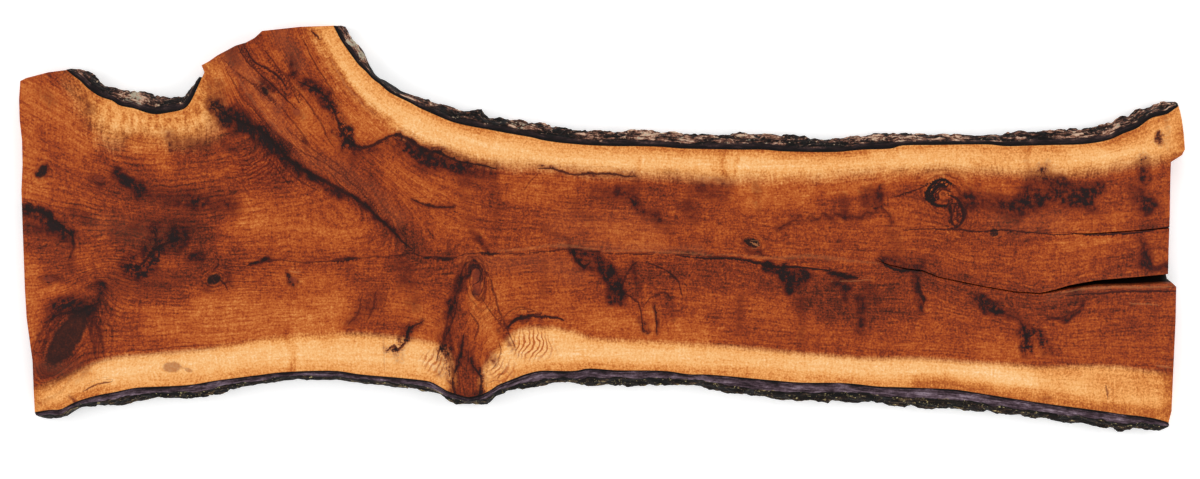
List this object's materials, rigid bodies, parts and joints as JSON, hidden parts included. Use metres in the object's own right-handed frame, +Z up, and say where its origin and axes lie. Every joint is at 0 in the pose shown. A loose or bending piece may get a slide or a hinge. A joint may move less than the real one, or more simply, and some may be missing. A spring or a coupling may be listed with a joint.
{
  "type": "live-edge walnut slab",
  "caption": "Live-edge walnut wood slab with bark on both long edges, a limb stub, a horned end, knots and drying cracks, lying flat.",
  "frame": {"origin": "on the sawn underside, below the middle of the slab's bounding box", "axes": "+X along the grain towards the horned end, +Y across the slab towards the edge with the limb stub, +Z up through the thickness"},
  "size_m": [2, 0.6962, 0.05],
  "materials": {
    "walnut_wood": "sanded and oiled heartwood and sapwood, satin",
    "walnut_bark": "rough furrowed bark, sawn flush with both faces, matt"
  },
  "bodies": {
    "root": {"wood": "walnut_wood", "bark_lower": "walnut_bark", "bark_upper": "walnut_bark", "bark_notch": "walnut_bark"}
  },
  "joints": []
}
